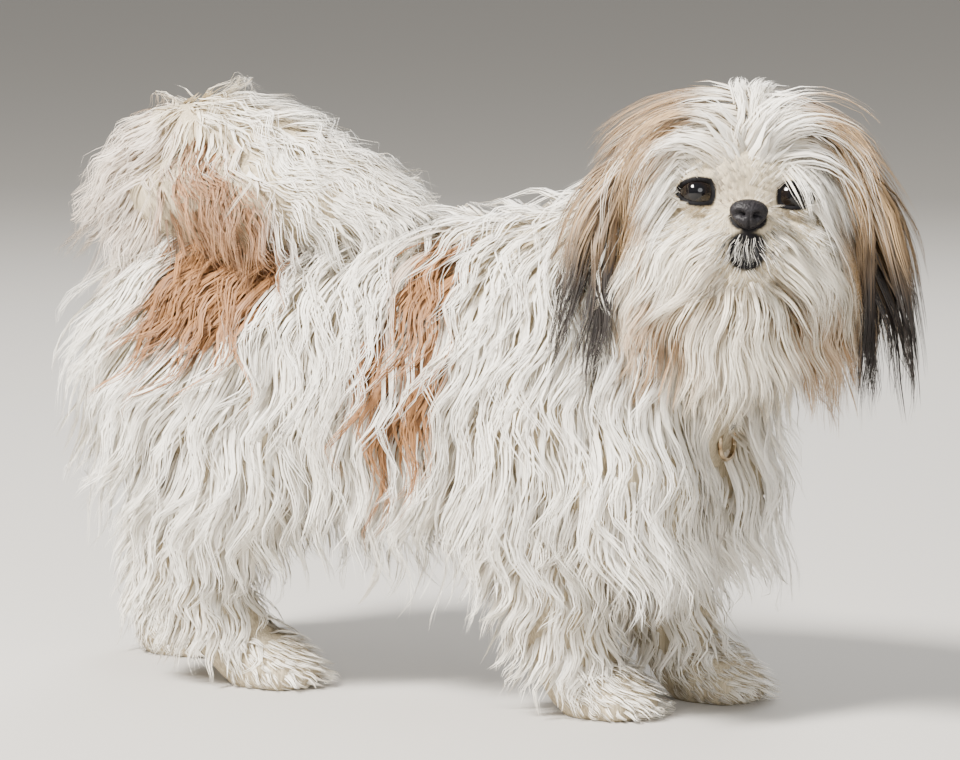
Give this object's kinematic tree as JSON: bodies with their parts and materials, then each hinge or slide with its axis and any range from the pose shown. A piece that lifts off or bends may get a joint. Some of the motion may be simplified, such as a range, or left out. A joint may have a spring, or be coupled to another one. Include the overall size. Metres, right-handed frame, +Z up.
{
  "type": "standing long-coated toy dog figure",
  "caption": "Life-size still model of a standing shih tzu in full coat, head turned to its right, tail curled over its back, with a collar and its ring.",
  "frame": {"origin": "on the floor, under the middle of the dog's bounding box", "axes": "+X is the way the body faces, +Y is the dog's left, +Z is up"},
  "size_m": [0.5134, 0.2266, 0.3417],
  "materials": {
    "white_coat": "long wavy hair",
    "ear_coat": "long straight hair",
    "nose_leather": "moist",
    "eye": "wet gloss",
    "webbing": "woven",
    "brass": "worn"
  },
  "bodies": {
    "root": {"torso": "white_coat", "neck": "white_coat", "head": "white_coat", "ear_left": "ear_coat", "ear_right": "ear_coat", "nose": "nose_leather", "eye_left": "eye", "eye_right": "eye", "tail": "white_coat", "front_leg_right": "white_coat", "front_leg_left": "white_coat", "hind_leg_right": "white_coat", "hind_leg_left": "white_coat", "collar": "webbing", "collar_ring": "brass"}
  },
  "joints": []
}
